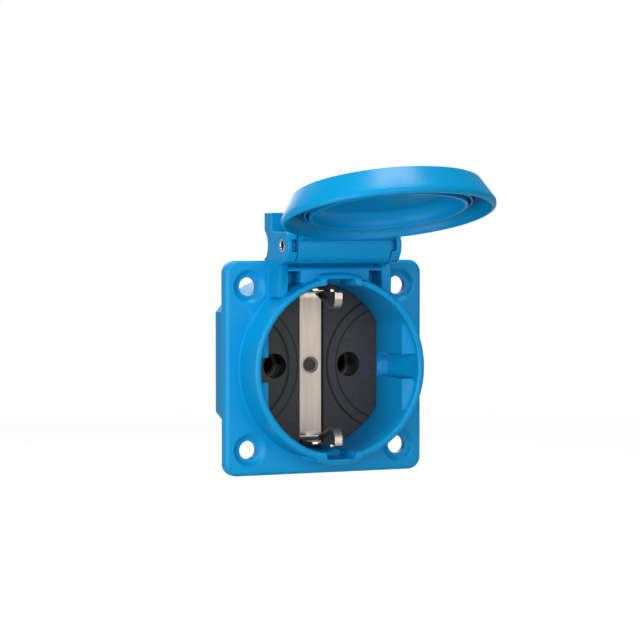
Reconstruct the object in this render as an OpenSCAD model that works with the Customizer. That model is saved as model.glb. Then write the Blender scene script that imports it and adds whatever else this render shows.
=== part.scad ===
// Panel mount earthed socket with a round well, a square flange and a hinged lid, lid standing open.
// Millimetres. The back of the flange is the plane y = 0, +Y goes into the panel, +Z is up.

/* [Flange] */
// Width and height of the square flange
flange_size = 50; // [50:0.5:60]
// Thickness of the flange
flange_t = 2.8; // [2.2:0.1:4]
// Radius of the flange corners
flange_corner_r = 3; // [2:0.1:5]
// Rounding of the front edge of the flange
flange_edge_r = 1.1; // [0.4:0.1:1.6]
// Distance from a fixing hole to the flange edge
hole_edge = 6; // [5.5:0.1:7]
// Diameter of a fixing hole
hole_d = 4.3; // [3.2:0.1:4.6]
// Diameter of the dished recess around a fixing hole
dish_d = 8.4; // [6:0.1:9]
// Depth of the dished recess
dish_depth = 1.3; // [0.6:0.1:1.6]

/* [Collar] */
// Outer radius of the collar around the well
collar_r = 21.4; // [21.2:0.1:22]
// Wall of the collar
collar_wall = 1.6; // [1.5:0.05:1.8]
// Height of the collar above the flange
collar_h = 9.5; // [8.5:0.1:11]
// Rounding of the collar rim, inside and outside
rim_r = 0.65; // [0.3:0.05:0.75]
// Height and width of the chamfer at the foot of the collar
foot_chamfer = 0.5; // [0.2:0.1:0.8]
// Half width of the two lugs over the earth clips
lug_half = 5.25; // [5:0.05:5.6]
// How far a lug stands beyond the collar
lug_out = 0.8; // [0.5:0.05:0.85]
// Rounding of the outer front edge of a lug
lug_round = 1.3; // [1:0.1:1.6]
// Half width of the earth clip notch in a lug
notch_half = 3.55; // [3:0.05:4]
// Depth of the earth clip notch beyond the well
notch_out = 1.1; // [0.8:0.1:1.3]
// Length of the earth clip notch along the well
notch_len = 9; // [7:0.1:9.5]

/* [Well] */
// Depth of the well from the rim to the insert
well_depth = 17.5; // [17:0.1:18.5]
// Distance from the well wall in to a side flat
flat_in = 2.88; // [2.6:0.02:3.1]
// Depth of the side flats behind the rim
flat_drop = 3.05; // [2:0.05:4]
// Half width of the groove along a side flat
groove_half = 2.85; // [2:0.05:3.5]
// Distance from the end of the groove to the insert
groove_stop = 0.3; // [0.2:0.05:1]

/* [Rear body] */
// Depth of the rear body behind the flange
rear_depth = 25.4; // [25.2:0.1:30]
// Wall of the rear body around the well
tube_wall = 0.9; // [0.8:0.05:1.2]
// Wall of the rear body around the terminal carrier
bore_wall = 2.1; // [1.8:0.1:2.4]
// Wall of the rear body at its side flats
side_wall = 1.8; // [1.4:0.1:2.2]
// Width of the inner lip that the insert rests on
lip_w = 1.1; // [0.9:0.05:1.3]
// Thickness of the inner lip
lip_t = 1.8; // [1.4:0.1:2.2]
// Start of the side flats behind the flange
side_start = 9.4; // [8.8:0.1:12]

/* [Hinge] */
// Height of the hinge axis above the flange edge
hinge_rise = 3.55; // [3.5:0.05:5]
// Distance of the hinge axis behind the collar rim
hinge_back = 1.9; // [1.6:0.05:2.1]
// Radius of the hinge noses and of the lid barrel
nose_r = 4.2; // [4:0.05:4.3]
// Outer half width over the two hinge cheeks
cheek_half = 14.3; // [13.8:0.1:15]
// Thickness of a hinge cheek
cheek_t = 2.4; // [2.2:0.1:2.8]
// Height of the hinge cheeks above the hinge axis
cheek_rise = 3.2; // [2.9:0.05:3.5]
// Distance of the cheek front below the nose behind the hinge axis
cheek_back = 1.7; // [1.2:0.1:2.2]
// Height of the stop wall above the hinge axis
stop_rise = 7.55; // [7:0.05:9]
// Radius of the relief groove across the back of the hinge
relief_r = 3.64; // [3:0.02:4]
// Depth of the relief groove across the back of the hinge
relief_depth = 2; // [1:0.1:2.2]
// Width of the moulding window in a hinge nose
window_w = 1.25; // [0.8:0.05:1.4]
// Half height of the moulding window in a hinge nose
window_half = 1.4; // [1:0.05:1.5]
// Depth of the moulding window in a hinge nose
window_depth = 2; // [1.4:0.1:2.1]
// Half width of the web behind the upper lug
web_half = 8.6; // [8:0.1:9]
// Thickness of the ledge between the cheeks
ledge_t = 0.8; // [0.6:0.05:1]
// Gap between the ledge and the lid barrel
ledge_gap = 0.9; // [0.6:0.05:1]
// Outer radius of the hollow hinge pin
pin_r = 1.8; // [1.6:0.05:1.9]
// Bore radius of the hollow hinge pin
pin_bore_r = 1; // [0.7:0.05:1.2]
// Depth of the pin ends below the cheek faces
pin_recess = 0.1; // [0.05:0.05:0.4]

/* [Lid] */
// Opening angle of the lid
lid_open = 103; // [95:0.5:106]
// Radius of the open edge beyond the collar
lid_over = 2.4; // [2.3:0.05:2.6]
// Height of the lid
lid_h = 6.45; // [6.2:0.05:7.2]
// Taper of the lid skirt in radius
lid_taper = 3.05; // [2.8:0.05:3.2]
// Rounding of the outer edge of the lid face
lid_round = 0.4; // [0.3:0.1:1]
// Rounding of the open edge of the lid
lid_edge_r = 0.7; // [0.4:0.05:0.8]
// Height of the upright lip at the open edge of the lid
lid_lip = 1.4; // [1.1:0.1:1.5]
// Wall of the lid skirt
skirt_wall = 1; // [0.9:0.05:1.1]
// Thickness of the lid face
lid_face_t = 1.8; // [1.5:0.1:1.9]
// Distance of the open edge in front of the hinge axis
lid_edge_y = 0.05; // [0:0.05:0.3]
// Rise of the lid centre above the well centre when shut
lid_lift = 0.1; // [0:0.05:0.2]
// Distance from the well wall in to the inner ring of the lid
ring_in = 2.2; // [2.1:0.05:2.8]
// Wall of the inner ring of the lid
ring_wall = 0.75; // [0.6:0.05:0.9]
// Distance from the well wall in to the thin second ring of the lid
fin_in = 1.05; // [1:0.05:1.3]
// Wall of the thin second ring
fin_wall = 0.45; // [0.4:0.05:0.5]
// Distance of the inner ring behind the open edge
ring_drop = 0.95; // [0.9:0.05:1.2]
// Distance of the second ring behind the open edge
fin_drop = 1.65; // [1.5:0.05:1.9]
// Reach of the hinge arm into the lid from its open edge
arm_reach = 5.5; // [5:0.1:6]
// Rise of the lid tail above the hinge axis when shut
tail_rise = 4.3; // [4:0.05:4.5]
// Radial width of the lid seal
seal_w = 1.55; // [1.3:0.05:1.6]
// Distance left between the seal and the collar rim when shut
seal_gap = 0.35; // [0.3:0.05:0.6]

/* [Insert] */
// Distance between the two pin holes
pin_pitch = 19; // [18.8:0.1:19.2]
// Diameter of a pin hole
pin_hole_d = 5.8; // [5.4:0.1:6]
// Thickness of the insert plate
insert_t = 3.1; // [2.9:0.1:3.4]
// Radius of the raised arcs on the insert
arc_r = 15.8; // [15:0.1:16]
// Width of a raised arc
arc_w = 1.9; // [1.4:0.1:2.2]
// Height of a raised arc
arc_h = 0.4; // [0.2:0.05:0.5]
// Distance of the arc centres from the well centre
arc_x = 19.8; // [19.6:0.1:20.4]
// Radius of the contact chambers behind the pin holes
chamber_r = 3.7; // [3.65:0.05:3.8]
// Wall beside a contact chamber
chamber_wall = 0.6; // [0.5:0.05:0.8]
// Wall behind a contact chamber
chamber_back = 0.6; // [0.5:0.05:0.8]
// Rear wall of the terminal carrier
carrier_wall = 4.8; // [4.6:0.1:5]
// Depth of the carrier below the end of the rear body
carrier_drop = 0.4; // [0.3:0.1:1]
// Half width of a wire channel in the terminal carrier
wire_half = 1.3; // [1:0.05:1.5]
// Half width of the barrier between the two line terminals
barrier_half = 0.9; // [0.6:0.05:1.2]

/* [Earth clip] */
// Width of the earth strap
strap_w = 5.56; // [5:0.02:6]
// Sheet thickness of the earth strap
strap_t = 0.7; // [0.6:0.05:0.8]
// Depth of the strap face below the insert face
strap_drop = 0.8; // [0.5:0.05:0.9]
// Distance from the well wall in to the clip plates
clip_space = 1.4; // [1.1:0.05:1.6]
// Inner bend radius of the strap
bend_r = 0.8; // [0.6:0.05:1]
// Width of the front half of a clip plate
clip_w = 2.8; // [2.4:0.1:3.4]
// Outer radius of the fold between the clip plate and the contact tongue
fold_r = 1; // [0.8:0.05:1.2]
// Width of the contact tongue
tongue_w = 1.9; // [1.6:0.05:2.3]
// Sheet thickness of the contact tongue
tongue_t = 0.6; // [0.5:0.05:0.65]
// Distance of the clip front behind the rim
clip_front = 1.55; // [1.5:0.05:2]
// Bend radius of the contact crest at mid sheet
crest_r = 2.3; // [1.8:0.1:2.6]
// Reach of the contact crest in from the outside of the clip plate
crest_in = 4.35; // [4:0.05:4.8]
// Slope of the tongue from the contact crest back to the plate
ramp_angle = 20; // [16:0.5:24]
// Length of the wide part of a clip plate
clip_wide = 7; // [6:0.1:8]
// Shank radius of the hollow earth rivet
rivet_r = 1.9; // [1.7:0.05:2]
// Bore radius of the hollow earth rivet
rivet_bore_r = 1.45; // [1.3:0.05:1.5]
// Radius of the countersunk rivet head and of the closed rivet tail
rivet_head_r = 2.3; // [2.2:0.05:2.4]
// Width and depth of the flared mouth of the rivet
rivet_flare = 0.55; // [0.3:0.05:0.6]
// Height of the closed rivet tail
rivet_tail_h = 0.35; // [0.2:0.05:0.45]
// Depth of the carrier peg below the strap face
peg_drop = 0.9; // [0.7:0.05:1.5]

/* [Contacts and terminals] */
// Inner radius of a contact sleeve
sleeve_in = 2.45; // [2.42:0.01:2.5]
// Wall of a contact sleeve
sleeve_wall = 0.65; // [0.5:0.05:0.7]
// Distance of the contact sleeves behind the insert plate
sleeve_drop = 4.3; // [3.5:0.1:4.8]
// Slot width of a contact sleeve
sleeve_slot = 0.9; // [0.6:0.1:1.2]
// Wall of the spring band around a sleeve
band_wall = 0.4; // [0.3:0.02:0.42]
// Length of the spring band
band_len = 3.5; // [2.5:0.1:4]
// Distance of the spring band behind the front of the sleeve
band_start = 0.6; // [0.3:0.1:0.8]
// Half width of the slot in the spring band
band_slot = 0.9; // [0.6:0.1:1.2]
// Distance of a terminal screw from the middle plane
term_x = 8.2; // [8:0.1:8.4]
// Distance from the carrier bore down to the line terminals
term_drop = 10; // [9.8:0.1:10.2]
// Distance from the carrier bore up to the earth terminal
earth_drop = 8.6; // [8.4:0.1:8.8]
// Width of a terminal bar
bar_w = 6.4; // [6:0.1:6.6]
// Thickness of a terminal bar
bar_t = 1.4; // [1.2:0.1:1.6]
// Half height of a terminal bar around its screw
bar_half = 3.4; // [3.2:0.1:3.6]
// Width and height of a clamping plate
plate_w = 5.2; // [4.8:0.1:5.4]
// Thickness of a clamping plate
plate_t = 0.9; // [0.7:0.1:1]
// Wire space under an open clamping plate
wire_gap = 1.2; // [0.8:0.1:1.3]
// Shank radius of a terminal screw
screw_r = 1.55; // [1.4:0.05:1.7]
// Head radius of a terminal screw
head_r = 2.4; // [2.2:0.05:2.5]
// Head height of a terminal screw
head_h = 1.6; // [1.4:0.1:1.7]
// Width and depth of the screwdriver slot
drive_w = 0.75; // [0.5:0.05:1]
// Half spacing of the carrier screws
fix_x = 8.2; // [7.8:0.1:8.4]
// Distance from the carrier bore up to the carrier screws
fix_drop = 9.2; // [9:0.1:9.6]
// Shank radius of a carrier screw
fix_r = 1.35; // [1.2:0.05:1.5]
// Radius of the screw bosses behind the insert
boss_r = 2.7; // [2.5:0.05:2.9]

/* [Clearances] */
// Gap between parts that are fixed together
fit_gap = 0.1; // [0.05:0.01:0.15]
// Gap between parts that touch
touch_gap = 0.05; // [0.03:0.01:0.08]
// Gap around the hinge pin and the carrier screws where they are held
press_gap = 0.01; // [0.01:0.005:0.02]
// Gap around the terminals in the carrier
room_gap = 0.2; // [0.15:0.01:0.25]
// Running clearance of the lid on its pin, in radius
run_gap = 0.06; // [0.03:0.01:0.09]
// Gap beside moving faces
side_gap = 0.3; // [0.3:0.05:0.5]
// Gap between the open lid and the stop wall
stop_gap = 0.34; // [0.3:0.02:0.6]

/* [Hidden] */
$fn = 96;
eps = 0.05;
wide = 100;
flange_half = flange_size / 2;
hole_half = flange_half - hole_edge;
front_y = -flange_t - collar_h;
well_r = collar_r - collar_wall;
flat_half = well_r - flat_in;
insert_y = front_y + well_depth;
insert_back = insert_y + insert_t;
seat_y = insert_back + fit_gap;
fix_y = insert_y + insert_t / 2;
sleeve_y = insert_back + sleeve_drop;
flat_y = front_y + flat_drop;
lug_r = collar_r + lug_out;
tube_r = well_r + tube_wall;
bore_r = tube_r - bore_wall;
lip_r = bore_r - lip_w;
term_z = bore_r - term_drop;
earth_z = bore_r - earth_drop;
fix_z = bore_r - fix_drop;
pole_x = pin_pitch / 2;
spigot_half = pole_x + chamber_r + chamber_wall;
lip_half = spigot_half + fit_gap;
bore_half = lip_half + lip_w;
side_half = bore_half + side_wall;
carrier_y = seat_y + lip_t + fit_gap;
carrier_end = rear_depth - carrier_drop;
bar_back = carrier_end - carrier_wall;
bar_front = bar_back - bar_t;
chamber_end = carrier_end - chamber_back;

hinge_y = front_y + hinge_back;
hinge_z = flange_half + hinge_rise;
cheek_in = cheek_half - cheek_t;
barrel_half = cheek_in - side_gap;
cheek_y = hinge_y + cheek_back;
lid_r = collar_r + lid_over;
lid_drop = hinge_z - lid_lift;
ring_r = well_r - ring_in;
fin_r = well_r - fin_in;
edge_y = -lid_edge_y;
face_y = edge_y - lid_h;
floor_y = face_y + lid_face_t;
lip_top = edge_y - lid_lip;
lid_slope = lid_taper / (lid_h - lid_lip);
slope_angle = atan(lid_slope);
top_r = lid_r - lid_taper;
round_r = top_r - lid_round * (1 - sin(slope_angle)) / cos(slope_angle);
lip_at = lid_r - lid_edge_r;
tail_open = face_y * cos(lid_open) + tail_rise * sin(lid_open);
stop_y = hinge_y + tail_open + stop_gap;
stop_z = hinge_z + stop_rise;
ledge_z = hinge_z - nose_r - ledge_gap - ledge_t;

strap_y = insert_y + strap_drop;
clip_out = well_r - clip_space;
clip_in = clip_out - strap_t;
crest_z = clip_out - crest_in;
bend_z = clip_in - bend_r;
clip_y = front_y + clip_front;
arch_y = clip_y + tongue_t / 2 + crest_r;
arch_z = crest_z + crest_r;
ramp_y = arch_y + crest_r * sin(ramp_angle);
ramp_z = arch_z - crest_r * cos(ramp_angle);
tip_z = clip_in - side_gap - tongue_t / 2;
tip_y = ramp_y + (tip_z - ramp_z) / tan(ramp_angle);
sleeve_out = sleeve_in + sleeve_wall;
band_in = sleeve_out + touch_gap;
earth_back = seat_y + fit_gap;
tail_end = earth_back + bar_t + rivet_tail_h;
link_z = -earth_z + bar_half;

blue = [0, 0.5, 0.8];
black = [0.16, 0.16, 0.17];
nickel = [0.78, 0.74, 0.68];
brass = [0.78, 0.62, 0.3];
steel = [0.7, 0.71, 0.73];
deep_blue = [0, 0.38, 0.62];

// Shared shapes

module box(x0, x1, y0, y1, z0, z1) {
    translate([x0, y0, z0]) cube([x1 - x0, y1 - y0, z1 - z0]);
}

module rod_y(r, y0, y1) {
    translate([0, y0, 0]) rotate([-90, 0, 0]) cylinder(r = r, h = y1 - y0);
}

module cone_y(r0, r1, y0, y1) {
    translate([0, y0, 0]) rotate([-90, 0, 0]) cylinder(r1 = r0, r2 = r1, h = y1 - y0);
}

module ring_y(r_out, r_in, y0, y1) {
    difference() {
        rod_y(r_out, y0, y1);
        rod_y(r_in, y0 - eps, y1 + eps);
    }
}

module bead_y(r, bead_r, y) {
    translate([0, y, 0]) rotate([-90, 0, 0]) rotate_extrude() translate([r, 0]) circle(r = bead_r);
}

module rod_x(r, half) {
    translate([-half, 0, 0]) rotate([0, 90, 0]) cylinder(r = r, h = 2 * half);
}

module flat_disc(r, half, y0, y1) {
    intersection() {
        rod_y(r, y0, y1);
        box(-half, half, y0 - eps, y1 + eps, -r - eps, r + eps);
    }
}

module corners(half) {
    for (sx = [-1, 1], sz = [-1, 1]) translate([sx * half, 0, sz * half]) children();
}

// Mirrors a shape drawn on the neutral side (x > 0) to the side that is asked for
module pole(side) {
    mirror([side > 0 ? 0 : 1, 0, 0]) children();
}

module screw(r, length, cap_r, cap_h) {
    difference() {
        union() {
            rod_y(r, -length, 0);
            rod_y(cap_r, -eps, cap_h);
        }
        box(-cap_r - eps, cap_r + eps, cap_h - drive_w, cap_h + eps, -drive_w / 2, drive_w / 2);
    }
}

// Housing

module flange_slab(inset, y0, y1) {
    core = flange_half - flange_corner_r;
    box(-flange_half + inset, flange_half - inset, y0, y1, -core, core);
    box(-core, core, y0, y1, -flange_half + inset, flange_half - inset);
    corners(core) rod_y(flange_corner_r - inset, y0, y1);
}

module flange() {
    core = flange_half - flange_corner_r;
    edge_y0 = -flange_t + flange_edge_r;
    edge_at = flange_half - flange_edge_r;
    flange_slab(0, edge_y0, 0);
    flange_slab(flange_edge_r, -flange_t, edge_y0 + eps);
    corners(core) bead_y(flange_corner_r - flange_edge_r, flange_edge_r, edge_y0);
    for (s = [-1, 1]) {
        translate([0, edge_y0, s * edge_at]) rod_x(flange_edge_r, core);
        translate([s * edge_at, edge_y0, 0]) rotate([0, 90, 0]) rod_x(flange_edge_r, core);
    }
}

module collar() {
    rod_y(collar_r, front_y + rim_r, 0);
    ring_y(collar_r - rim_r, well_r + rim_r, front_y, front_y + rim_r + eps);
    bead_y(collar_r - rim_r, rim_r, front_y + rim_r);
    bead_y(well_r + rim_r, rim_r, front_y + rim_r);
    cone_y(collar_r, collar_r + foot_chamfer, -flange_t - foot_chamfer, -flange_t + eps);
}

module lugs() {
    intersection() {
        union() {
            rod_y(lug_r, front_y + lug_round, -flange_t + eps);
            rod_y(lug_r - lug_round, front_y, front_y + lug_round + eps);
            bead_y(lug_r - lug_round, lug_round, front_y + lug_round);
        }
        for (s = [-1, 1]) {
            translate([0, 0, s * lug_r]) box(-lug_half, lug_half, front_y - eps, 0, -lug_half, lug_half);
        }
    }
}

module cheek() {
    foot_z = sqrt(collar_r * collar_r - cheek_half * cheek_half) + rim_r;
    box(cheek_in, cheek_half, cheek_y, 0, foot_z, hinge_z + cheek_rise);
    box(cheek_in, cheek_half, hinge_y, cheek_y + eps, hinge_z, hinge_z + cheek_rise);
    translate([(cheek_in + cheek_half) / 2, hinge_y, hinge_z]) intersection() {
        rod_x(nose_r, cheek_t / 2);
        box(-wide, wide, -wide, wide, -wide, cheek_rise);
    }
}

module hinge_seat() {
    for (s = [-1, 1]) pole(s) cheek();
    box(-cheek_half, cheek_half, stop_y, 0, flange_half - flange_t, stop_z);
    box(-web_half, web_half, cheek_y, -flange_t + eps, well_r, ledge_z + ledge_t);
    box(-cheek_in - eps, cheek_in + eps, cheek_y, -flange_t + eps, ledge_z, ledge_z + ledge_t);
}

module hinge_cuts() {
    relief_y = relief_r - relief_depth;
    nose_y = hinge_y - nose_r;
    translate([0, relief_y, hinge_z]) rod_x(relief_r, cheek_half + eps);
    translate([0, hinge_y, hinge_z]) rod_x(pin_r + press_gap, cheek_half + eps);
    for (s = [-1, 1]) {
        pole(s) box(cheek_in - eps, cheek_in + window_w, nose_y - eps, nose_y + window_depth,
                    hinge_z - window_half, hinge_z + window_half);
    }
}

module rear_body() {
    rod_y(tube_r, -eps, side_start);
    flat_disc(tube_r, side_half, side_start - eps, rear_depth);
}

module well() {
    rod_y(well_r, front_y - eps, flat_y);
    flat_disc(well_r, flat_half, flat_y - eps, seat_y);
    intersection() {
        rod_y(well_r, flat_y - eps, insert_y - groove_stop);
        box(-wide, wide, front_y, insert_y, -groove_half, groove_half);
    }
    for (s = [-1, 1]) {
        translate([0, 0, s * well_r]) box(-notch_half, notch_half, front_y - eps, front_y + notch_len,
                                          -notch_out, notch_out);
    }
    flat_disc(lip_r, lip_half, seat_y - eps, rear_depth);
    flat_disc(bore_r, bore_half, seat_y + lip_t, rear_depth + eps);
}

module fixing_holes() {
    corners(hole_half) {
        rod_y(hole_d / 2, -flange_t - eps, eps);
        cone_y(dish_d / 2, hole_d / 2 + foot_chamfer, -flange_t - eps, -flange_t + dish_depth);
    }
}

module housing() {
    color(blue) difference() {
        union() {
            flange();
            collar();
            lugs();
            rear_body();
            hinge_seat();
        }
        well();
        fixing_holes();
        hinge_cuts();
    }
}

// Lid, drawn shut about the hinge axis and then turned open

module lid_place() {
    translate([0, hinge_y, hinge_z]) rotate([-lid_open, 0, 0]) children();
}

module lid_shell() {
    tangent_y = face_y + lid_round * (1 - sin(slope_angle));
    tangent_r = round_r + lid_round * cos(slope_angle);
    lip_y = edge_y - lid_edge_r;
    translate([0, 0, -lid_drop]) {
        cone_y(tangent_r, lid_r, tangent_y, lip_top);
        rod_y(lid_r, lip_top, lip_y);
        rod_y(round_r, face_y, tangent_y + eps);
        bead_y(round_r, lid_round, face_y + lid_round);
        rod_y(lip_at, lip_top - eps, edge_y);
        bead_y(lip_at, lid_edge_r, lip_y);
    }
    box(-barrel_half, barrel_half, face_y, edge_y, lid_r - arm_reach - lid_drop, tail_rise);
    rod_x(nose_r, barrel_half);
}

module lid_hollow() {
    wall_r = lid_r - skirt_wall;
    floor_r = wall_r - (lip_top - floor_y) * lid_slope;
    translate([0, 0, -lid_drop]) {
        cone_y(floor_r, wall_r, floor_y, lip_top);
        rod_y(wall_r, lip_top, edge_y + eps);
        rod_y(floor_r, floor_y, edge_y + eps);
    }
    rod_x(pin_r + run_gap, barrel_half + eps);
}

module lid_rings() {
    translate([0, 0, -lid_drop]) {
        ring_y(ring_r, ring_r - ring_wall, floor_y - eps, edge_y - ring_drop);
        ring_y(fin_r, fin_r - fin_wall, floor_y - eps, edge_y - fin_drop);
    }
}

module lid() {
    color(blue) lid_place() {
        difference() {
            lid_shell();
            lid_hollow();
        }
        lid_rings();
    }
}

module lid_seal() {
    seal_in = fin_r + fit_gap;
    crest_at = -hinge_back - seal_gap;
    half = seal_w / 2;
    color(deep_blue) lid_place() translate([0, 0, -lid_drop]) {
        ring_y(seal_in + seal_w, seal_in, floor_y, crest_at - half);
        bead_y(seal_in + half, half, crest_at - half);
    }
}

module hinge_pin() {
    color(steel) translate([0, hinge_y, hinge_z]) difference() {
        rod_x(pin_r, cheek_half - pin_recess);
        rod_x(pin_bore_r, cheek_half);
    }
}

// Insert and terminal carrier

module insert_plate() {
    channel_half = strap_w / 2 + side_gap;
    plate_r = well_r - fit_gap;
    plate_half = flat_half - fit_gap;
    color(black) difference() {
        union() {
            flat_disc(plate_r, plate_half, insert_y, insert_back);
            intersection() {
                flat_disc(plate_r - side_gap, plate_half - side_gap, insert_y - arc_h, insert_y + eps);
                for (s = [-1, 1]) translate([s * arc_x, 0, 0]) {
                    ring_y(arc_r, arc_r - arc_w, insert_y - arc_h, insert_y + eps);
                }
            }
            for (s = [-1, 1]) translate([s * fix_x, 0, -fix_z]) rod_y(boss_r, insert_back - eps, carrier_y);
        }
        for (s = [-1, 1]) {
            translate([s * pole_x, 0, 0]) rod_y(pin_hole_d / 2, insert_y - arc_h - eps, insert_back + eps);
            translate([s * fix_x, 0, -fix_z]) rod_y(fix_r + press_gap, fix_y, carrier_y + eps);
        }
        box(-channel_half, channel_half, insert_y - arc_h - eps, strap_y + strap_t + fit_gap, -wide, wide);
        rod_y(rivet_r + fit_gap, insert_y, insert_back + eps);
    }
}

module contact_room() {
    room_half = bar_w / 2 + room_gap;
    translate([pole_x, 0, 0]) rod_y(chamber_r, seat_y, chamber_end);
    box(term_x - room_half, term_x + room_half, seat_y, bar_back + fit_gap, 0, term_z + bar_half + fit_gap);
}

module clamp_window(z) {
    window = plate_w / 2 + room_gap;
    translate([0, 0, z]) box(-window, window, bar_front, carrier_end + eps, -window, window);
}

module terminal_carrier() {
    earth_half = bar_w / 2 + room_gap;
    color(black) difference() {
        union() {
            flat_disc(lip_r - fit_gap, spigot_half, earth_back, carrier_y + eps);
            flat_disc(bore_r - fit_gap, bore_half - fit_gap, carrier_y, carrier_end);
        }
        for (s = [-1, 1]) pole(s) {
            contact_room();
            translate([term_x, 0, 0]) clamp_window(term_z);
            box(barrier_half, term_x, bar_back, carrier_end + eps, term_z - wire_half, term_z + wire_half);
            translate([fix_x, 0, -fix_z]) {
                rod_y(boss_r + fit_gap, earth_back - eps, carrier_y + fit_gap);
                rod_y(fix_r + fit_gap, earth_back, carrier_end);
                rod_y(head_r + fit_gap, carrier_end - head_h - carrier_drop, carrier_end + eps);
            }
        }
        difference() {
            box(-earth_half, earth_half, earth_back - eps, tail_end + fit_gap,
                link_z, rivet_head_r + side_gap);
            rod_y(rivet_bore_r - fit_gap, earth_back, tail_end + side_gap);
        }
        box(-earth_half, earth_half, earth_back - eps, bar_back + fit_gap,
            -earth_z - bar_half - fit_gap, link_z + fit_gap);
        clamp_window(-earth_z);
        box(-wire_half, wire_half, bar_back, carrier_end + eps, -bore_r, -earth_z);
    }
    color(black) rod_y(rivet_bore_r - fit_gap, strap_y + peg_drop, tail_end + side_gap);
}

// Earth path

module strip(y0, z0, y1, z1, w, t) {
    length = norm([y1 - y0, z1 - z0]);
    translate([0, y0, z0]) rotate([atan2(z1 - z0, y1 - y0), 0, 0]) {
        box(-w / 2, w / 2, -eps, length, -t / 2, t / 2);
        translate([0, length, 0]) rod_x(t / 2, w / 2);
    }
}

// Bend of the contact crest, from the upright front to the start of the ramp
module arch() {
    half = tongue_w / 2;
    difference() {
        rod_x(crest_r + tongue_t / 2, half);
        rod_x(crest_r - tongue_t / 2, half + eps);
        box(-wide, wide, -wide, wide, 0, wide);
        rotate([ramp_angle, 0, 0]) box(-wide, wide, 0, wide, -wide, wide);
    }
}

// Fold from the clip plate to the upright front of the tongue
module fold() {
    half = tongue_w / 2;
    difference() {
        rod_x(fold_r, half);
        rod_x(fold_r - tongue_t, half + eps);
        box(-wide, wide, 0, wide, -wide, wide);
        box(-wide, wide, -wide, wide, -wide, 0);
    }
}

module earth_clip() {
    bend_y = strap_y - bend_r;
    fold_y = clip_y + fold_r;
    half = strap_w / 2;
    wide_y = bend_y - clip_wide;
    intersection() {
        translate([0, bend_y, bend_z]) difference() {
            rod_x(bend_r + strap_t, half);
            rod_x(bend_r, half + eps);
        }
        box(-wide, wide, bend_y, wide, bend_z, wide);
    }
    box(-half, half, wide_y, bend_y, clip_in, clip_out);
    box(-clip_w / 2, clip_w / 2, fold_y + tongue_t, wide_y + eps, clip_in, clip_out);
    box(-tongue_w / 2, tongue_w / 2, fold_y, fold_y + tongue_t + eps, clip_out - tongue_t, clip_out);
    translate([0, fold_y, clip_out - fold_r]) fold();
    box(-tongue_w / 2, tongue_w / 2, clip_y, clip_y + tongue_t, arch_z, clip_out - fold_r);
    translate([0, arch_y, arch_z]) arch();
    strip(ramp_y, ramp_z, tip_y, tip_z, tongue_w, tongue_t - touch_gap);
}

module earth_strap() {
    color(nickel) difference() {
        union() {
            box(-strap_w / 2, strap_w / 2, strap_y, strap_y + strap_t, -bend_z, bend_z);
            earth_clip();
            mirror([0, 0, 1]) earth_clip();
        }
        rod_y(rivet_r + touch_gap, strap_y - eps, strap_y + strap_t + eps);
        cone_y(rivet_head_r + touch_gap, rivet_r + touch_gap, strap_y, strap_y + rivet_head_r - rivet_r);
    }
}

module earth_rivet() {
    color(nickel) difference() {
        union() {
            rod_y(rivet_r, strap_y, tail_end);
            cone_y(rivet_head_r, rivet_r, strap_y, strap_y + rivet_head_r - rivet_r);
            rod_y(rivet_head_r, earth_back + bar_t, tail_end);
        }
        rod_y(rivet_bore_r, strap_y - eps, tail_end + eps);
        cone_y(rivet_bore_r + rivet_flare, rivet_bore_r, strap_y, strap_y + rivet_flare);
    }
}

module earth_bar() {
    half = bar_w / 2;
    color(brass) difference() {
        union() {
            box(-half, half, earth_back, earth_back + bar_t, link_z - bar_t, rivet_head_r);
            box(-half, half, earth_back, bar_back, link_z - bar_t, link_z);
            box(-half, half, bar_front, bar_back, -earth_z - bar_half, link_z);
        }
        rod_y(rivet_r + touch_gap, earth_back - eps, earth_back + bar_t + eps);
        translate([0, 0, -earth_z]) rod_y(screw_r + touch_gap, bar_front - eps, bar_back + eps);
    }
}

// Line contacts and terminals

module contact() {
    difference() {
        union() {
            translate([pole_x, 0, 0]) rod_y(sleeve_out, sleeve_y, bar_back);
            box(term_x - bar_w / 2, term_x + bar_w / 2, bar_front, bar_back, 0, term_z + bar_half);
        }
        translate([pole_x, 0, 0]) {
            rod_y(sleeve_in, sleeve_y - eps, bar_back + eps);
            box(-sleeve_slot / 2, sleeve_slot / 2, sleeve_y - eps, bar_front - bar_t, -wide, wide);
        }
        translate([term_x, 0, term_z]) rod_y(screw_r + touch_gap, bar_front - eps, bar_back + eps);
    }
}

module band() {
    band_y = sleeve_y + band_start;
    translate([pole_x, 0, 0]) difference() {
        ring_y(band_in + band_wall, band_in, band_y, band_y + band_len);
        box(0, wide, band_y - eps, band_y + band_len + eps, -band_slot, band_slot);
    }
}

module clamp() {
    half = plate_w / 2;
    y0 = bar_back + wire_gap;
    difference() {
        box(-half, half, y0, y0 + plate_t, -half, half);
        rod_y(screw_r + touch_gap, y0 - eps, y0 + plate_t + eps);
    }
}

module terminal_screw() {
    head_y = bar_back + wire_gap + plate_t + touch_gap;
    translate([0, head_y, 0]) screw(screw_r, head_y - bar_front + bar_t, head_r, head_h);
}

module live_contact() color(brass) pole(-1) contact();
module neutral_contact() color(brass) pole(1) contact();
module live_band() color(steel) pole(-1) band();
module neutral_band() color(steel) pole(1) band();
module live_clamp() color(steel) translate([-term_x, 0, term_z]) clamp();
module neutral_clamp() color(steel) translate([term_x, 0, term_z]) clamp();
module earth_clamp() color(steel) translate([0, 0, -earth_z]) clamp();
module live_screw() color(steel) translate([-term_x, 0, term_z]) terminal_screw();
module neutral_screw() color(steel) translate([term_x, 0, term_z]) terminal_screw();
module earth_screw() color(steel) translate([0, 0, -earth_z]) terminal_screw();

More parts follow.
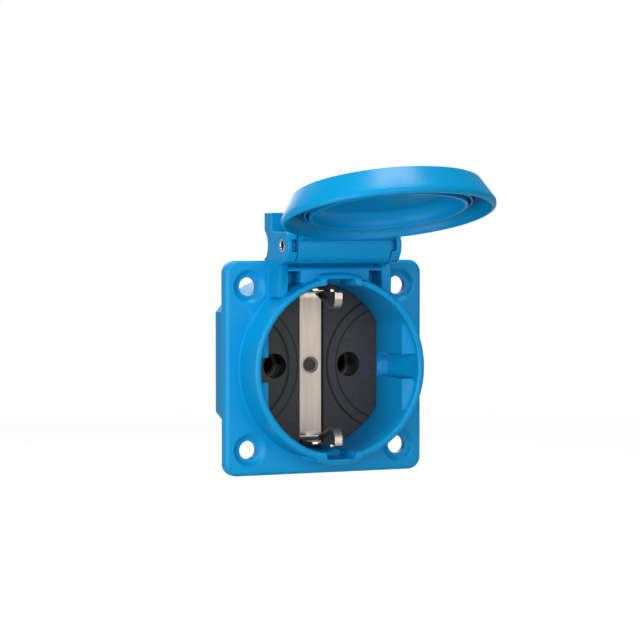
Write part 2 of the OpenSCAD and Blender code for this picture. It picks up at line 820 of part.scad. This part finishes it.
module carrier_screws() {
    head_y = carrier_end - head_h - carrier_drop + touch_gap;
    color(steel) for (s = [-1, 1]) translate([s * fix_x, head_y, -fix_z]) {
        screw(fix_r, head_y - fix_y - fit_gap, head_r, head_h);
    }
}

housing();
lid();
lid_seal();
hinge_pin();
insert_plate();
terminal_carrier();
earth_strap();
earth_rivet();
earth_bar();
live_contact();
neutral_contact();
live_band();
neutral_band();
live_clamp();
neutral_clamp();
earth_clamp();
live_screw();
neutral_screw();
earth_screw();
carrier_screws();
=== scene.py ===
"""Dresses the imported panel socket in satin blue, matt black, nickel, zinc and brass.

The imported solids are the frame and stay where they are. The mouldings, the earth strap and the hinge pin
get pieces of their own with softened edges, made from copies of the solids. Every other node gets a
procedural finish.
"""

import logging
import math
from dataclasses import dataclass
from enum import Enum
from typing import Any, Callable

import bmesh
import bpy
from mathutils import Matrix, Vector


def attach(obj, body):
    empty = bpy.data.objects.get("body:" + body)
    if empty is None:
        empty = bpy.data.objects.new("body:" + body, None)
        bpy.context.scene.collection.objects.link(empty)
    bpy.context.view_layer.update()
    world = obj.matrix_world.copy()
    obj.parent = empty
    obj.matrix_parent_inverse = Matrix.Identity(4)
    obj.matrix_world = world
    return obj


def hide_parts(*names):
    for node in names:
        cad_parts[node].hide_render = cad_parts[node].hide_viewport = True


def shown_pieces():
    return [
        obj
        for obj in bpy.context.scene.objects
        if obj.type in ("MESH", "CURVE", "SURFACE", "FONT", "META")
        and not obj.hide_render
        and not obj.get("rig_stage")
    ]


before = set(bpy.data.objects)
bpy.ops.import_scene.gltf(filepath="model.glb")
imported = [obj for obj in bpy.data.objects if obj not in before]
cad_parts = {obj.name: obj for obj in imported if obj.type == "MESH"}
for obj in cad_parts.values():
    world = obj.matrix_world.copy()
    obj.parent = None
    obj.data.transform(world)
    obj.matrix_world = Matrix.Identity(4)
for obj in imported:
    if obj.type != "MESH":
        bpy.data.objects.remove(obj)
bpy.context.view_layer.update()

MM = 0.001
WHITE = "#FFFFFF"
ROUND_PROFILE = 0.5
LOG = logging.getLogger("socket")

# Socket numbers of the Mix node, whose sockets share their names
FACTOR, FLOAT_A, FLOAT_B, COLOUR_A, COLOUR_B = 0, 2, 3, 6, 7
FLOAT_OUT, COLOUR_OUT = 0, 2


class Body(str, Enum):
    """The two rigid bodies of the socket."""

    SOCKET = "socket"
    LID = "lid"


class Slot(str, Enum):
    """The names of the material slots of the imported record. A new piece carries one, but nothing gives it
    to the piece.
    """

    BLUE = "blue_plastic"
    BLACK = "black_plastic"
    NICKEL = "nickel_plate"
    STEEL = "bright_steel"


# Finishes


def linear(colour: str) -> tuple[float, float, float, float]:
    """Turns an sRGB hex colour into linear RGBA.

    Args:
        colour: Six hex digits after a hash sign.

    Returns:
        The linear colour with full alpha.
    """
    parts = [int(colour[i:i + 2], 16) / 255 for i in (1, 3, 5)]
    return (*[p / 12.92 if p <= 0.04045 else ((p + 0.055) / 1.055) ** 2.4 for p in parts], 1.0)


def per_metre(size_mm: float) -> float:
    """Returns the texture scale at which one cell of a pattern is size_mm wide."""
    return 1 / (size_mm * MM)


def add_node(tree: bpy.types.NodeTree, kind: str, inputs: dict[Any, Any] | None = None,
             links: dict[Any, Any] | None = None, **settings: Any) -> bpy.types.Node:
    """Adds a node with its settings, socket values and incoming links.

    Args:
        tree: The node tree of a material or world.
        kind: The node's type name.
        inputs: Socket values by socket name or number.
        links: Source sockets by the name or number of the socket they feed.
        settings: Properties of the node itself.

    Returns:
        The new node.
    """
    node = tree.nodes.new(kind)
    for key, value in settings.items():
        setattr(node, key, value)
    for key, value in (inputs or {}).items():
        node.inputs[key].default_value = value
    for key, source in (links or {}).items():
        tree.links.new(source, node.inputs[key])
    return node


@dataclass(frozen=True)
class Finish:
    """What all finishes share: a name, a colour range, a roughness range and a fine relief.

    A finish may also be polished beyond a height above and below the middle of the socket.
    """

    name: str
    colour: str
    tone: str
    roughness: tuple[float, float]
    mottle_mm: float
    grain_mm: float
    relief_mm: float
    ior: float = 1.5
    specular: float = 0.5
    metallic: float = 0.0
    stretch: tuple[float, float, float] = (1.0, 1.0, 1.0)
    polished_from_mm: float = 1000.0
    polish_fade_mm: float = 1.0
    polish: float = 0.14

    def material(self) -> bpy.types.Material:
        """Builds the node material.

        Returns:
            The finished material.
        """
        made = bpy.data.materials.new(self.name)
        made.use_nodes = True
        tree = made.node_tree
        tree.nodes.clear()
        place = add_node(tree, "ShaderNodeTexCoord").outputs["Object"]
        lay = add_node(tree, "ShaderNodeMapping", {"Scale": self.stretch},
                       {"Vector": place}).outputs["Vector"]
        mottle = add_node(tree, "ShaderNodeTexNoise", {"Scale": per_metre(self.mottle_mm), "Detail": 3.0},
                          {"Vector": lay}).outputs["Fac"]
        grain = add_node(tree, "ShaderNodeTexNoise", {"Scale": per_metre(self.grain_mm), "Detail": 2.0},
                         {"Vector": lay}).outputs["Fac"]
        colour = add_node(tree, "ShaderNodeMix",
                          {COLOUR_A: linear(self.colour), COLOUR_B: linear(self.tone)}, {FACTOR: mottle},
                          data_type="RGBA").outputs[COLOUR_OUT]
        bump = add_node(tree, "ShaderNodeBump", {"Strength": 1.0, "Distance": self.relief_mm * MM},
                        {"Height": grain}).outputs["Normal"]
        shader = add_node(tree, "ShaderNodeBsdfPrincipled",
                          {"Metallic": self.metallic, "IOR": self.ior, "Specular IOR Level": self.specular},
                          {"Base Color": self.shadow_lined(tree, place, colour),
                           "Roughness": self.polished(tree, place, grain), "Normal": bump})
        add_node(tree, "ShaderNodeOutputMaterial", links={"Surface": shader.outputs["BSDF"]})
        return made

    def polished(self, tree: bpy.types.NodeTree, place: Any, grain: Any) -> Any:
        """Varies the roughness with the grain, and smooths it where the finish is polished.

        Args:
            tree: The material's node tree.
            place: The output with the Object coordinates.
            grain: The output with the grain.

        Returns:
            The output with the roughness.
        """
        rough = add_node(tree, "ShaderNodeMapRange",
                         {"To Min": self.roughness[0], "To Max": self.roughness[1]},
                         {"Value": grain}).outputs["Result"]
        upright = add_node(tree, "ShaderNodeSeparateXYZ", links={0: place}).outputs["Z"]
        height = add_node(tree, "ShaderNodeMath", links={0: upright}, operation="ABSOLUTE").outputs[0]
        shine = add_node(tree, "ShaderNodeMapRange",
                         {"From Min": self.polished_from_mm * MM,
                          "From Max": (self.polished_from_mm + self.polish_fade_mm) * MM},
                         {"Value": height}).outputs["Result"]
        return add_node(tree, "ShaderNodeMix", {FLOAT_B: self.polish},
                        {FACTOR: shine, FLOAT_A: rough}).outputs[FLOAT_OUT]

    def shadow_lined(self, tree: bpy.types.NodeTree, place: Any, colour: Any) -> Any:
        """Returns the colour as it is: a plain finish has no painted shadow lines."""
        return colour


@dataclass(frozen=True)
class ArcShadowLined(Finish):
    """A finish with painted shadow lines: a fine dark line along both feet of the raised arcs stands in for
    the shade at their steps.
    """

    centre_mm: float = 19.8
    feet_mm: tuple[float, float] = (13.6, 16.05)
    line_mm: float = 0.27
    core_mm: float = 0.09
    # The colour of the painted shadow lines.
    dark: str = "#0A0A0B"

    def shadow_lined(self, tree: bpy.types.NodeTree, place: Any, colour: Any) -> Any:
        """Paints shadow lines: darkens the colour along two circles about each arc centre, where the steps of
        the raised arcs are shaded.

        Args:
            tree: The material's node tree.
            place: The output with the Object coordinates.
            colour: The output with the plain colour.

        Returns:
            The output with the colour and its painted shadow lines.
        """
        parts = add_node(tree, "ShaderNodeSeparateXYZ", links={0: place}).outputs
        side = add_node(tree, "ShaderNodeMath", links={0: parts["X"]}, operation="ABSOLUTE").outputs[0]
        across = add_node(tree, "ShaderNodeMath", {1: self.centre_mm * MM}, {0: side},
                          operation="SUBTRACT").outputs[0]
        spot = add_node(tree, "ShaderNodeCombineXYZ", links={"X": across, "Z": parts["Z"]}).outputs["Vector"]
        reach = add_node(tree, "ShaderNodeVectorMath", links={0: spot}, operation="LENGTH").outputs["Value"]
        for radius in self.feet_mm:
            off = add_node(tree, "ShaderNodeMath", {1: radius * MM}, {0: reach},
                           operation="SUBTRACT").outputs[0]
            away = add_node(tree, "ShaderNodeMath", links={0: off}, operation="ABSOLUTE").outputs[0]
            plain = add_node(tree, "ShaderNodeMapRange",
                             {"From Min": self.core_mm * MM, "From Max": self.line_mm * MM},
                             {"Value": away}, interpolation_type="SMOOTHSTEP").outputs["Result"]
            # Painted shadow: the dark colour stands in for the shade along the foot of a raised arc.
            colour = add_node(tree, "ShaderNodeMix", {COLOUR_A: linear(self.dark)},
                              {FACTOR: plain, COLOUR_B: colour}, data_type="RGBA").outputs[COLOUR_OUT]
        return colour


# Polyamide from a spark eroded mould: satin blue, its grain of 0.08 mm drawn at 0.3 mm so that it shows.
BLUE_MOULDING = Finish("polyamide_blue_moulded", "#0096D6", "#0091D1", roughness=(0.3, 0.38), mottle_mm=9.0,
                       grain_mm=0.3, relief_mm=0.005, ior=1.53, specular=0.17)
# Glass filled polyamide: charcoal black, matt, with a slightly cloudy skin.
BLACK_SKIN = {"colour": "#3E3F40", "tone": "#2B2C2D", "roughness": (0.45, 0.62), "mottle_mm": 0.9,
              "grain_mm": 0.3, "relief_mm": 0.016, "ior": 1.53, "specular": 0.35}
BLACK_MOULDING = Finish("polyamide_black_moulded", **BLACK_SKIN)
# The insert in the same black, with painted shadow lines at the feet of its raised arcs, where their steps
# are shaded.
BLACK_INSERT = ArcShadowLined("polyamide_black_insert", **BLACK_SKIN)
# Soft seal in a darker shade of the lid's blue, dull.
SEAL_RUBBER = Finish("elastomer_seal_blue", "#00619E", "#005890", roughness=(0.6, 0.72), mottle_mm=3.0,
                     grain_mm=0.3, relief_mm=0.008, specular=0.2)
# Nickel plated strip: warm grey, with streaks that run upwards along it, and bright at its bent ends.
NICKEL_STRIP = Finish("nickel_plated_strip", "#DCD0C4", "#B8AB9E", roughness=(0.36, 0.48), mottle_mm=1.6,
                      grain_mm=0.35, relief_mm=0.003, metallic=1.0, stretch=(1.0, 1.0, 0.12),
                      polished_from_mm=15.5)
# Zinc plated steel: cold grey with a silky grain.
ZINC_STEEL = Finish("zinc_plated_steel", "#E6E7EA", "#D5D7DA", roughness=(0.2, 0.32), mottle_mm=1.2,
                    grain_mm=0.25, relief_mm=0.003, metallic=1.0)
# Rolled brass with the shade of the pin holes painted into its colour: dark olive brown with a dull sheen.
ROLLED_BRASS = Finish("rolled_brass", "#63553A", "#52462C", roughness=(0.32, 0.46), mottle_mm=1.5,
                      grain_mm=0.3, relief_mm=0.003, metallic=1.0)


# Tools of the bench


def deselect() -> None:
    """Leaves nothing selected, so that an operator acts on the chosen piece alone."""
    if bpy.context.object and bpy.context.object.mode != "OBJECT":
        bpy.ops.object.mode_set(mode="OBJECT")
    bpy.ops.object.select_all(action="DESELECT")


def hold(piece: bpy.types.Object) -> None:
    """Selects one piece and makes it the active one.

    Args:
        piece: The piece to work on.
    """
    deselect()
    piece.select_set(True)
    bpy.context.view_layer.objects.active = piece


def dress(piece: bpy.types.Object, material: bpy.types.Material) -> None:
    """Gives a piece one material in its only slot."""
    piece.data.materials.clear()
    piece.data.materials.append(material)


EdgeTest = Callable[[bmesh.types.BMEdge], bool]


@dataclass(frozen=True)
class Softening:
    """One pass of edge rounding: its width, the test that picks its edges and its number of facets."""

    width_mm: float
    picks: EdgeTest
    segments: int = 3


@dataclass
class Softened:
    """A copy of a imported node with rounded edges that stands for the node."""

    node: str
    piece_name: str
    body: Body
    slot: Slot
    passes: list[Softening]
    merge_mm: float = 0.001
    flat_deg: float = 0.5
    smooth_deg: float = 38.0

    def make(self, material: bpy.types.Material) -> None:
        """Copies the node, merges its triangles, rounds the picked edges and dresses the copy.

        Args:
            material: The finish of the piece.
        """
        hold(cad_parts[self.node])
        bpy.ops.object.duplicate()
        piece = bpy.context.object
        piece.name = self.piece_name
        piece.parent = None
        for key in [k for k in piece.keys() if k.startswith("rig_")]:
            del piece[key]
        bpy.ops.object.mode_set(mode="EDIT")
        bpy.ops.mesh.select_all(action="SELECT")
        bpy.ops.mesh.remove_doubles(threshold=self.merge_mm * MM)
        bpy.ops.mesh.dissolve_limited(angle_limit=math.radians(self.flat_deg))
        for step in self.passes:
            self.soften(piece, step)
        bpy.ops.mesh.select_all(action="SELECT")
        bpy.ops.mesh.remove_doubles(threshold=self.merge_mm * MM)
        bpy.ops.mesh.dissolve_degenerate(threshold=self.merge_mm * MM)
        bpy.ops.object.mode_set(mode="OBJECT")
        bpy.ops.object.shade_smooth_by_angle(angle=math.radians(self.smooth_deg))
        bpy.ops.object.modifier_add(type="WEIGHTED_NORMAL")
        piece.modifiers[-1].keep_sharp = True
        bpy.ops.object.modifier_apply(modifier=piece.modifiers[-1].name)
        dress(piece, material)
        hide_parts(self.node)
        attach(piece, self.body.value)
        LOG.info("%s stands for %s", self.piece_name, self.node)

    @staticmethod
    def soften(piece: bpy.types.Object, step: Softening) -> None:
        """Selects the edges of one pass and bevels them.

        Args:
            piece: The piece in edit mode.
            step: The pass.
        """
        bpy.ops.mesh.select_all(action="DESELECT")
        mesh = bmesh.from_edit_mesh(piece.data)
        for edge in mesh.edges:
            if len(edge.link_faces) == 2 and step.picks(edge):
                edge.select_set(True)
        bmesh.update_edit_mesh(piece.data)
        bpy.ops.mesh.bevel(offset=step.width_mm * MM, segments=step.segments, profile=ROUND_PROFILE,
                           affect="EDGES", clamp_overlap=False, miter_outer="ARC")


def sharp(edge: bmesh.types.BMEdge, degrees: float = 32.0) -> bool:
    """Tells whether two faces meet at more than the given angle along an edge."""
    return edge.calc_face_angle(0.0) > math.radians(degrees)


def middle(edge: bmesh.types.BMEdge) -> Vector:
    """Returns the middle of an edge in millimetres."""
    return (edge.verts[0].co + edge.verts[1].co) / 2 / MM


def square_faced(edge: bmesh.types.BMEdge, cosine: float = 0.9998) -> bool:
    """Tells whether both faces of an edge are square to the socket's axes, to about a degree."""
    return all(max(map(abs, face.normal)) > cosine for face in edge.link_faces)


def arc_step(edge: bmesh.types.BMEdge, longest_mm: float = 1.5,
             turn_deg: tuple[float, float] = (1.0, 25.0)) -> bool:
    """Tells whether an edge is one short step of a rounded outline.

    Args:
        edge: The edge.
        longest_mm: A step is shorter than this.
        turn_deg: The least and the most that an outline turns from step to step.

    Returns:
        True where sharp edges carry on at both ends with a slight turn.
    """
    low, high = (math.radians(d) for d in turn_deg)

    def carries_on(vert: bmesh.types.BMVert) -> bool:
        """Tells whether a sharp edge carries on at one end with a slight turn.

        Args:
            vert: The end of the edge.

        Returns:
            True where one does.
        """
        along = vert.co - edge.other_vert(vert).co
        others = [other for other in vert.link_edges if other is not edge and sharp(other)]
        return any(low < along.angle(other.other_vert(vert).co - vert.co) < high for other in others)

    return edge.calc_length() < longest_mm * MM and all(carries_on(vert) for vert in edge.verts)


def square_sharp(edge: bmesh.types.BMEdge) -> bool:
    """Picks sharp straight edges between faces that are square to the socket's axes."""
    return sharp(edge) and square_faced(edge) and not arc_step(edge)


# Sub-assemblies


@dataclass
class Housing:
    """The blue housing with flange, collar, well, hinge cheeks and rear body."""

    hinge_from_mm: float = 25.4
    rear_from_mm: float = 9.0
    cheek_in_mm: float = 12.2
    ledge_from_mm: float = 21.6
    stop_from_mm: float = -6.0
    round_walls_mm: tuple[float, float] = (19.8, 22.2)
    groove_end_mm: float = 4.9
    lug_half_mm: float = 5.25
    lug_from_mm: float = 21.5
    near_mm: float = 0.02
    lug_round_mm: float = 0.45
    lug_segments: int = 4
    hinge_round_mm: float = 0.35
    edge_round_mm: float = 0.2

    def lug_edge(self, edge: bmesh.types.BMEdge) -> bool:
        """Picks the outer side edges of the two lugs on the collar."""
        return sharp(edge) and all(abs(abs(v.co.x / MM) - self.lug_half_mm) < self.near_mm and
                                   math.hypot(v.co.x, v.co.z) / MM > self.lug_from_mm for v in edge.verts)

    def hinge_edge(self, edge: bmesh.types.BMEdge) -> bool:
        """Picks the outer edges of the hinge cheeks and the edges of the stop wall above the flange.

        Args:
            edge: The edge.

        Returns:
            True for a picked edge.
        """
        if not sharp(edge) or any(v.co.z / MM < self.hinge_from_mm for v in edge.verts):
            return False
        return abs(middle(edge).x) > self.cheek_in_mm or middle(edge).y > self.stop_from_mm

    def on_round_wall(self, edge: bmesh.types.BMEdge) -> bool:
        """Tells whether both ends of an edge lie on the round wall of the well or of the lugs."""
        reaches = [math.hypot(v.co.x, v.co.z) / MM for v in edge.verts]
        return any(all(abs(reach - radius) < self.near_mm for reach in reaches)
                   for radius in self.round_walls_mm)

    def ends_groove(self, edge: bmesh.types.BMEdge) -> bool:
        """Tells whether an edge belongs to the small step at the end of a side groove."""
        return all(abs(v.co.y / MM - self.groove_end_mm) < self.near_mm for v in edge.verts)

    def plain_edge(self, edge: bmesh.types.BMEdge) -> bool:
        """Picks the straight edges between square faces below the hinge, and those of the rear body.

        Args:
            edge: The edge.

        Returns:
            True for a picked edge.
        """
        spot = middle(edge)
        ledge = spot.z > self.ledge_from_mm and abs(spot.x) < self.cheek_in_mm
        if not sharp(edge) or ledge or spot.z > self.hinge_from_mm:
            return False
        if spot.y > self.rear_from_mm:
            return True
        return square_sharp(edge) and not (self.on_round_wall(edge) or self.ends_groove(edge))

    def build(self, blue: bpy.types.Material) -> None:
        """Makes the softened housing.

        Args:
            blue: The finish of the blue mouldings.
        """
        Softened("housing", "housing_moulding", Body.SOCKET, Slot.BLUE, [
            Softening(self.lug_round_mm, self.lug_edge, self.lug_segments),
            Softening(self.hinge_round_mm, self.hinge_edge),
            Softening(self.edge_round_mm, self.plain_edge),
        ]).make(blue)


@dataclass
class Lid:
    """The open lid with its conical skirt, two inner rings, arm and barrel, and its seal."""

    open_deg: float = 103.0
    axis_mm: tuple[float, float, float] = (0.0, -10.4, 28.55)
    centre_mm: float = -28.45
    ring_from_mm: float = -2.6
    ring_within_mm: float = 19.2
    ring_round_mm: float = 0.15
    ring_segments: int = 2
    arm_from_mm: float = -1.0
    arm_round_mm: float = 0.3
    foot_at_mm: float = -4.7
    foot_r_mm: float = 16.85
    near_mm: float = 0.05
    near_r_mm: float = 0.1
    foot_round_mm: float = 2.9
    foot_segments: int = 10

    def shut(self, point: Vector) -> Vector:
        """Turns a point of the open lid to its place on the shut lid, from the hinge axis, in millimetres."""
        turn = Matrix.Rotation(math.radians(self.open_deg), 3, "X")
        return turn @ (point / MM - Vector(self.axis_mm))

    def reach(self, spot: Vector) -> float:
        """Returns how far a point of the shut lid lies from the middle of the lid."""
        return math.hypot(spot.x, spot.z - self.centre_mm)

    def ring_edge(self, edge: bmesh.types.BMEdge) -> bool:
        """Picks the round edges of the two inner rings."""
        spots = [self.shut(v.co) for v in edge.verts]
        return sharp(edge) and all(s.y > self.ring_from_mm and self.reach(s) < self.ring_within_mm
                                   for s in spots)

    def foot_edge(self, edge: bmesh.types.BMEdge) -> bool:
        """Picks the circle where the inner ring meets the floor of the lid."""
        spots = [self.shut(v.co) for v in edge.verts]
        return all(abs(s.y - self.foot_at_mm) < self.near_mm and
                   abs(self.reach(s) - self.foot_r_mm) < self.near_r_mm for s in spots)

    def arm_edge(self, edge: bmesh.types.BMEdge) -> bool:
        """Picks the edges of the tail and the barrel."""
        return sharp(edge) and all(self.shut(v.co).z > self.arm_from_mm for v in edge.verts)

    def build(self, blue: bpy.types.Material, rubber: bpy.types.Material) -> None:
        """Makes the softened lid and dresses the seal.

        Args:
            blue: The finish of the blue mouldings.
            rubber: The finish of the seal.
        """
        Softened("lid", "lid_moulding", Body.LID, Slot.BLUE, [
            Softening(self.ring_round_mm, self.ring_edge, self.ring_segments),
            Softening(self.arm_round_mm, self.arm_edge),
            Softening(self.foot_round_mm, self.foot_edge, self.foot_segments),
        ]).make(blue)
        dress(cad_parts["lid_seal"], rubber)


@dataclass
class Insert:
    """The black insert plate and the terminal carrier behind it."""

    plate_round_mm: float = 0.05
    carrier_round_mm: float = 0.2
    segments: int = 2

    def build(self, shadow_lined: bpy.types.Material, black: bpy.types.Material) -> None:
        """Makes both softened black mouldings.

        Args:
            shadow_lined: The finish of the insert plate.
            black: The finish of the carrier.
        """
        Softened("insert_plate", "insert_moulding", Body.SOCKET, Slot.BLACK,
                 [Softening(self.plate_round_mm, sharp, self.segments)]).make(shadow_lined)
        Softened("terminal_carrier", "carrier_moulding", Body.SOCKET, Slot.BLACK,
                 [Softening(self.carrier_round_mm, square_sharp, self.segments)]).make(black)


@dataclass
class EarthPath:
    """The plated earth strap with its clips, the rivet and the bar."""

    sheet_round_mm: float = 0.06
    segments: int = 2

    def build(self, nickel: bpy.types.Material, brass: bpy.types.Material) -> None:
        """Makes the softened strap and dresses the rivet and the bar.

        Args:
            nickel: The finish of the strap and the rivet.
            brass: The finish of the bar.
        """
        Softened("earth_strap", "earth_strip", Body.SOCKET, Slot.NICKEL,
                 [Softening(self.sheet_round_mm, sharp, self.segments)]).make(nickel)
        dress(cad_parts["earth_rivet"], nickel)
        dress(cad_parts["earth_bar"], brass)


@dataclass
class Metalwork:
    """The contacts, clamps and screws behind the insert, and the hinge pin."""

    brass_nodes: tuple[str, ...] = ("live_contact", "neutral_contact")
    steel_nodes: tuple[str, ...] = ("live_band", "neutral_band", "live_clamp", "neutral_clamp", "earth_clamp",
                                    "live_screw", "neutral_screw", "earth_screw", "carrier_screws")
    pin_round_mm: float = 0.32
    pin_segments: int = 4

    def build(self, brass: bpy.types.Material, steel: bpy.types.Material) -> None:
        """Dresses the metal nodes and makes the pin with its rolled ends.

        Args:
            brass: The finish of the contacts.
            steel: The finish of the bands, clamps, screws and the pin.
        """
        for names, material in ((self.brass_nodes, brass), (self.steel_nodes, steel)):
            for name in names:
                dress(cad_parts[name], material)
        Softened("hinge_pin", "hinge_pin_rolled", Body.SOCKET, Slot.STEEL,
                 [Softening(self.pin_round_mm, sharp, self.pin_segments)]).make(steel)


# Studio


@dataclass(frozen=True)
class SoftBox:
    """A rectangular studio light."""

    name: str
    at_mm: tuple[float, float, float]
    size_mm: tuple[float, float]
    watts: float
    colour: str = "#FFFDF7"

    def hang(self, target: Vector) -> None:
        """Adds the light and points it at the target.

        Args:
            target: The point it looks at, in metres.
        """
        data = bpy.data.lights.new(self.name, "AREA")
        data.shape = "RECTANGLE"
        data.size, data.size_y = (s * MM for s in self.size_mm)
        data.energy = self.watts
        data.color = linear(self.colour)[:3]
        lamp = bpy.data.objects.new(self.name, data)
        bpy.context.scene.collection.objects.link(lamp)
        lamp.location = Vector(self.at_mm) * MM
        lamp.rotation_euler = (target - lamp.location).to_track_quat("-Z", "Y").to_euler()


@dataclass
class Studio:
    """The camera, the soft lights, the white surround and the pale floor."""

    camera_mm: tuple[float, float, float] = (-220.94, -511.01, 34.37)
    azimuth_deg: float = 23.37
    elevation_deg: float = 2.416
    lens_mm: float = 133.12
    sensor_mm: float = 36.0
    clip_mm: tuple[float, float] = (10.0, 20000.0)
    floor_mm: float = -75.0
    floor_half_mm: float = 4000.0
    floor_grey: str = "#9C9C9C"
    floor_lift: float = 0.78
    floor_fade_mm: tuple[float, float] = (220.0, 900.0)
    ambient: float = 0.16
    sky: str = "#E4F1FF"
    room: float = 0.1
    backdrop_from: tuple[float, float] = (0.4, 0.9)
    mirror_share: float = 0.38
    target_mm: tuple[float, float, float] = (0.0, -5.0, 8.0)
    lights: tuple[SoftBox, ...] = (
        SoftBox("window_left", at_mm=(-200.0, -110.0, 10.0), size_mm=(140.0, 180.0), watts=0.31),
        SoftBox("overhead", at_mm=(-10.0, -70.0, 600.0), size_mm=(310.0, 90.0), watts=2.7, colour="#FFF8E8"),
        SoftBox("key_front", at_mm=(-140.0, -610.0, 110.0), size_mm=(460.0, 380.0), watts=1.72),
        SoftBox("card_right", at_mm=(235.0, -555.0, -30.0), size_mm=(320.0, 420.0), watts=0.5),
        SoftBox("fill_back", at_mm=(120.0, 560.0, 240.0), size_mm=(460.0, 380.0), watts=1.0),
    )

    def build(self) -> None:
        """Sets the camera, the lights, the world and the floor."""
        self.set_camera()
        for light in self.lights:
            light.hang(Vector(self.target_mm) * MM)
        self.set_world()
        self.lay_floor()
        bpy.context.scene.view_settings.view_transform = "Standard"

    def set_camera(self) -> None:
        """Puts the camera where the photograph was taken from."""
        data = bpy.data.cameras.new("camera")
        data.lens, data.sensor_width = self.lens_mm, self.sensor_mm
        data.clip_start, data.clip_end = (reach * MM for reach in self.clip_mm)
        camera = bpy.data.objects.new("camera", data)
        bpy.context.scene.collection.objects.link(camera)
        turn, dip = math.radians(self.azimuth_deg), math.radians(self.elevation_deg)
        ahead = Vector((math.sin(turn) * math.cos(dip), math.cos(turn) * math.cos(dip), -math.sin(dip)))
        camera.location = Vector(self.camera_mm) * MM
        camera.rotation_euler = ahead.to_track_quat("-Z", "Y").to_euler()
        bpy.context.scene.camera = camera

    def mirrored(self, tree: bpy.types.NodeTree, path: Any) -> Any:
        """Masks rays from a mirroring or a clear surface, which see the surround dimmer than the lens does.

        Args:
            tree: The node tree of the world or the floor.
            path: The outputs of its Light Path node.

        Returns:
            The mask's output socket.
        """
        either = add_node(tree, "ShaderNodeMath",
                          links={0: path["Is Glossy Ray"], 1: path["Is Transmission Ray"]},
                          operation="MAXIMUM").outputs[0]
        return add_node(tree, "ShaderNodeMath", {1: self.mirror_share}, {0: either},
                        operation="MULTIPLY").outputs[0]

    def set_world(self) -> None:
        """Makes a soft surround that is white to the lens and, in mirrors, pale behind and dim in front."""
        world = bpy.data.worlds.new("white_surround")
        bpy.context.scene.world = world
        world.use_nodes = True
        tree = world.node_tree
        tree.nodes.clear()
        path = add_node(tree, "ShaderNodeLightPath").outputs
        around = add_node(tree, "ShaderNodeTexCoord").outputs["Generated"]
        ahead = add_node(tree, "ShaderNodeSeparateXYZ", links={0: around}).outputs["Y"]
        start, full = self.backdrop_from
        backdrop = add_node(tree, "ShaderNodeMapRange",
                            {"From Min": start, "From Max": full, "To Min": self.room, "To Max": 1.0},
                            {"Value": ahead}, interpolation_type="SMOOTHSTEP").outputs["Result"]
        glow = add_node(tree, "ShaderNodeMix", {FLOAT_A: self.ambient},
                        {FACTOR: self.mirrored(tree, path), FLOAT_B: backdrop}).outputs[FLOAT_OUT]
        strength = add_node(tree, "ShaderNodeMath", links={0: glow, 1: path["Is Camera Ray"]},
                            operation="MAXIMUM").outputs[0]
        hue = add_node(tree, "ShaderNodeMix", {COLOUR_A: linear(self.sky), COLOUR_B: linear(WHITE)},
                       {FACTOR: path["Is Camera Ray"]}, data_type="RGBA").outputs[COLOUR_OUT]
        surround = add_node(tree, "ShaderNodeBackground", links={"Color": hue, "Strength": strength})
        add_node(tree, "ShaderNodeOutputWorld", links={"Surface": surround.outputs["Background"]})

    def lay_floor(self) -> None:
        """Lays a pale floor that is white to the lens and keeps a faint shadow."""
        deselect()
        bpy.ops.mesh.primitive_plane_add(size=2 * self.floor_half_mm * MM,
                                         location=(0, 0, self.floor_mm * MM))
        floor = bpy.context.object
        floor.name = "studio_floor"
        made = bpy.data.materials.new("matt_white_card")
        made.use_nodes = True
        tree = made.node_tree
        tree.nodes.clear()
        path = add_node(tree, "ShaderNodeLightPath").outputs
        seen = add_node(tree, "ShaderNodeMath",
                        links={0: path["Is Camera Ray"], 1: self.mirrored(tree, path)},
                        operation="MAXIMUM").outputs[0]
        lift = add_node(tree, "ShaderNodeMath", {1: self.floor_lift}, {0: seen},
                        operation="MULTIPLY").outputs[0]
        card = add_node(tree, "ShaderNodeBsdfDiffuse", {"Color": linear(self.floor_grey)}).outputs["BSDF"]
        glow, far = (add_node(tree, "ShaderNodeEmission", {"Color": linear(WHITE)},
                              {"Strength": strength}).outputs["Emission"] for strength in (lift, seen))
        near = add_node(tree, "ShaderNodeAddShader", links={0: card, 1: glow}).outputs["Shader"]
        place = add_node(tree, "ShaderNodeTexCoord").outputs["Object"]
        reach = add_node(tree, "ShaderNodeVectorMath", links={0: place}, operation="LENGTH").outputs["Value"]
        start, full = (limit * MM for limit in self.floor_fade_mm)
        fade = add_node(tree, "ShaderNodeMapRange", {"From Min": start, "From Max": full}, {"Value": reach},
                        interpolation_type="SMOOTHSTEP").outputs["Result"]
        mixed = add_node(tree, "ShaderNodeMixShader", links={0: fade, 1: near, 2: far}).outputs["Shader"]
        add_node(tree, "ShaderNodeOutputMaterial", links={"Surface": mixed})
        dress(floor, made)
        floor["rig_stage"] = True


def main() -> None:
    """Builds the sub-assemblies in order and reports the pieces."""
    logging.basicConfig(level=logging.INFO, format="%(message)s")
    Studio().build()
    blue, black, rubber = (f.material() for f in (BLUE_MOULDING, BLACK_MOULDING, SEAL_RUBBER))
    # The insert's finish, with its painted shadow lines.
    shadow_lined = BLACK_INSERT.material()
    nickel, steel, brass = (f.material() for f in (NICKEL_STRIP, ZINC_STEEL, ROLLED_BRASS))
    Housing().build(blue)
    Lid().build(blue, rubber)
    Insert().build(shadow_lined, black)
    EarthPath().build(nickel, brass)
    Metalwork().build(brass, steel)
    deselect()
    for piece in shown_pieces():
        LOG.info("piece %s", piece.name)


if __name__ == "__main__":
    main()
